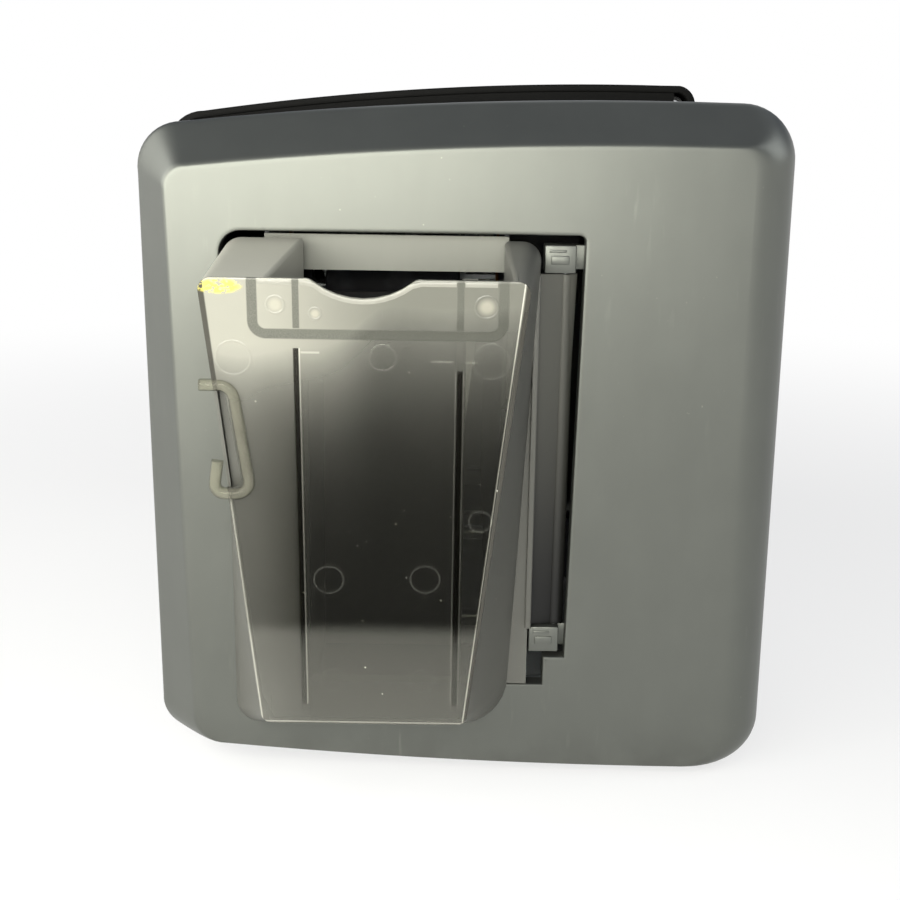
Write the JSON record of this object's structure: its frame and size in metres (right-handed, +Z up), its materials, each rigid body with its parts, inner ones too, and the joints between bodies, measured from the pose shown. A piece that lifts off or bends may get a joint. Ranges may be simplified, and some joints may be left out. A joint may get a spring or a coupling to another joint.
{
  "type": "id card printer",
  "caption": "Desktop card printer with grey end covers, a hinged top lid and a tapering hinged card hopper with a smoked window at each end.",
  "frame": {"origin": "on the surface the printer stands on, under the middle of its bounding box", "axes": "+X towards the card output end, -Y towards the operator's front, +Z up"},
  "size_m": [0.445, 0.2451, 0.2697],
  "materials": {
    "end_cover_grey": "satin metallic grey, faint grain",
    "pocket_grey": "satin moulded grey plastic",
    "smoked_window": "clear smoked gloss plastic",
    "lid_black": "fine-textured black plastic",
    "casing_dark": "dark charcoal plastic",
    "key_grey": "satin grey plastic",
    "steel": "bright drawn steel",
    "sheet_steel": "zinc-plated sheet",
    "foot_rubber": "soft black rubber",
    "roller_rubber": "ground black rubber",
    "gear_plastic": "natural white plastic",
    "black_plastic": "black moulded plastic",
    "ribbon_dye": "dark dye film",
    "heat_sink_aluminium": "extruded aluminium",
    "board_green": "green lacquered board",
    "bush_bronze": "sintered bronze"
  },
  "bodies": {
    "housing": {"base_pan": "sheet_steel", "card_guide_plates": "black_plastic", "card_slot_plates": "sheet_steel", "card_trays": "black_plastic", "connector_plate": "sheet_steel", "control_board": "board_green", "data_ports": "black_plastic", "display_board": "board_green", "display_window": "smoked_window", "fan_frame": "black_plastic", "feed_belts": "roller_rubber", "front_cover": "casing_dark", "front_frame_plate": "sheet_steel", "head_pivot_shaft": "steel", "hopper_hinge_pins": "steel", "housing_screws": "steel", "left_end_cover": "end_cover_grey", "lid_hinge_pins": "steel", "pick_motor": "steel", "power_inlet": "black_plastic", "power_supply": "sheet_steel", "power_switch_frame": "black_plastic", "rear_cover": "casing_dark", "rear_frame_plate": "sheet_steel", "ribbon_film": "ribbon_dye", "ribbon_guide_bars": "steel", "right_end_cover": "end_cover_grey", "roller_bushes": "bush_bronze", "rubber_feet": "foot_rubber", "stepper_motors": "steel", "tie_rods": "steel"},
    "lid": {"top_lid": "lid_black"},
    "output_hopper": {"output_hopper_pocket": "pocket_grey", "output_hopper_window": "smoked_window"},
    "input_hopper": {"input_hopper_pocket": "pocket_grey", "input_hopper_window": "smoked_window"},
    "feed_key": {"feed_key": "key_grey"},
    "pause_key": {"pause_key": "key_grey"},
    "cancel_key": {"cancel_key": "key_grey"},
    "lid_release": {"lid_release_button": "key_grey"},
    "power_rocker": {"power_rocker": "key_grey"},
    "feed_roller": {"feed_roller": "roller_rubber"},
    "platen": {"platen_roller": "roller_rubber", "platen_gear": "gear_plastic"},
    "exit_roller": {"exit_roller": "roller_rubber"},
    "cleaning_roller": {"cleaning_roller": "roller_rubber"},
    "pinch_roller": {"pinch_roller": "roller_rubber"},
    "pick_roller": {"pick_roller": "roller_rubber"},
    "feed_pinion": {"feed_motor_pinion": "gear_plastic"},
    "ribbon_pinion": {"ribbon_motor_pinion": "gear_plastic"},
    "supply_spool": {"supply_spool": "gear_plastic", "supply_ribbon": "ribbon_dye"},
    "take_up_spool": {"take_up_spool": "gear_plastic", "take_up_ribbon": "ribbon_dye", "take_up_gear": "gear_plastic"},
    "print_head": {"head_bracket": "sheet_steel", "head_heat_sink": "heat_sink_aluminium", "print_head": "black_plastic"},
    "card_lift": {"card_lift_plate": "black_plastic"},
    "fan_rotor": {"fan_rotor": "black_plastic"}
  },
  "joints": [
    {"name": "lid_hinge", "type": "hinge", "parent": "housing", "child": "lid", "pos_m": [0, 0.084, 0.262], "axis": [-1, 0, 0], "range_deg": [0, 80]},
    {"name": "output_hopper_hinge", "type": "hinge", "parent": "housing", "child": "output_hopper", "pos_m": [0.1655, 0.038, 0.132], "axis": [0, 0, 1], "range_deg": [0, 90]},
    {"name": "input_hopper_hinge", "type": "hinge", "parent": "housing", "child": "input_hopper", "pos_m": [-0.1655, 0.038, 0.132], "axis": [0, 0, -1], "range_deg": [0, 90]},
    {"name": "feed_key_press", "type": "slide", "parent": "housing", "child": "feed_key", "axis": [0, 1, 0], "range_m": [0, 0.0012], "stiffness_N_per_m": 300, "springref_m": -0.0004},
    {"name": "pause_key_press", "type": "slide", "parent": "housing", "child": "pause_key", "axis": [0, 1, 0], "range_m": [0, 0.0012], "stiffness_N_per_m": 300, "springref_m": -0.0004},
    {"name": "cancel_key_press", "type": "slide", "parent": "housing", "child": "cancel_key", "axis": [0, 1, 0], "range_m": [0, 0.0012], "stiffness_N_per_m": 300, "springref_m": -0.0004},
    {"name": "lid_release_press", "type": "slide", "parent": "housing", "child": "lid_release", "axis": [0, 1, 0], "range_m": [0, 0.002], "stiffness_N_per_m": 400, "springref_m": -0.0005},
    {"name": "power_rocker_tilt", "type": "hinge", "parent": "housing", "child": "power_rocker", "pos_m": [-0.032, 0.1139, 0.058], "axis": [-1, 0, 0], "range_deg": [0, 16]},
    {"name": "platen_spin", "type": "hinge", "parent": "housing", "child": "platen", "pos_m": [0, -0.029, 0.186], "axis": [0, 1, 0], "continuous": true},
    {"name": "feed_roller_spin", "type": "hinge", "parent": "housing", "child": "feed_roller", "pos_m": [-0.095, -0.029, 0.186], "axis": [0, 1, 0], "continuous": true},
    {"name": "exit_roller_spin", "type": "hinge", "parent": "housing", "child": "exit_roller", "pos_m": [0.095, -0.029, 0.186], "axis": [0, 1, 0], "continuous": true},
    {"name": "cleaning_roller_spin", "type": "hinge", "parent": "housing", "child": "cleaning_roller", "pos_m": [-0.095, -0.029, 0.202], "axis": [0, 1, 0], "continuous": true},
    {"name": "pinch_roller_spin", "type": "hinge", "parent": "housing", "child": "pinch_roller", "pos_m": [0.095, -0.029, 0.202], "axis": [0, 1, 0], "continuous": true},
    {"name": "pick_roller_spin", "type": "hinge", "parent": "housing", "child": "pick_roller", "pos_m": [-0.135, -0.029, 0.201], "axis": [0, 1, 0], "continuous": true},
    {"name": "feed_pinion_spin", "type": "hinge", "parent": "housing", "child": "feed_pinion", "pos_m": [0, 0.011, 0.165], "axis": [0, 1, 0], "continuous": true},
    {"name": "take_up_spin", "type": "hinge", "parent": "housing", "child": "take_up_spool", "pos_m": [0.058, -0.029, 0.218], "axis": [0, 1, 0], "continuous": true},
    {"name": "ribbon_pinion_spin", "type": "hinge", "parent": "housing", "child": "ribbon_pinion", "pos_m": [0.058, 0.011, 0.198], "axis": [0, 1, 0], "continuous": true},
    {"name": "supply_spin", "type": "hinge", "parent": "housing", "child": "supply_spool", "pos_m": [-0.058, -0.029, 0.218], "axis": [0, 1, 0], "continuous": true},
    {"name": "print_head_lift", "type": "hinge", "parent": "housing", "child": "print_head", "pos_m": [0.03, -0.029, 0.213], "axis": [0, 1, 0], "range_deg": [0, 8]},
    {"name": "card_lift_travel", "type": "slide", "parent": "housing", "child": "card_lift", "axis": [0, 0, 1], "range_m": [-0.12, 0], "stiffness_N_per_m": 20, "springref_m": 0.03},
    {"name": "fan_spin", "type": "hinge", "parent": "housing", "child": "fan_rotor", "pos_m": [0.07, 0.112, 0.064], "axis": [0, 1, 0], "continuous": true}
  ],
  "couplings": [
    {"joint": "feed_roller_spin", "follows": "platen_spin", "ratio": 1},
    {"joint": "exit_roller_spin", "follows": "platen_spin", "ratio": 1},
    {"joint": "feed_pinion_spin", "follows": "platen_spin", "ratio": -2.5},
    {"joint": "ribbon_pinion_spin", "follows": "take_up_spin", "ratio": -2.3333}
  ]
}
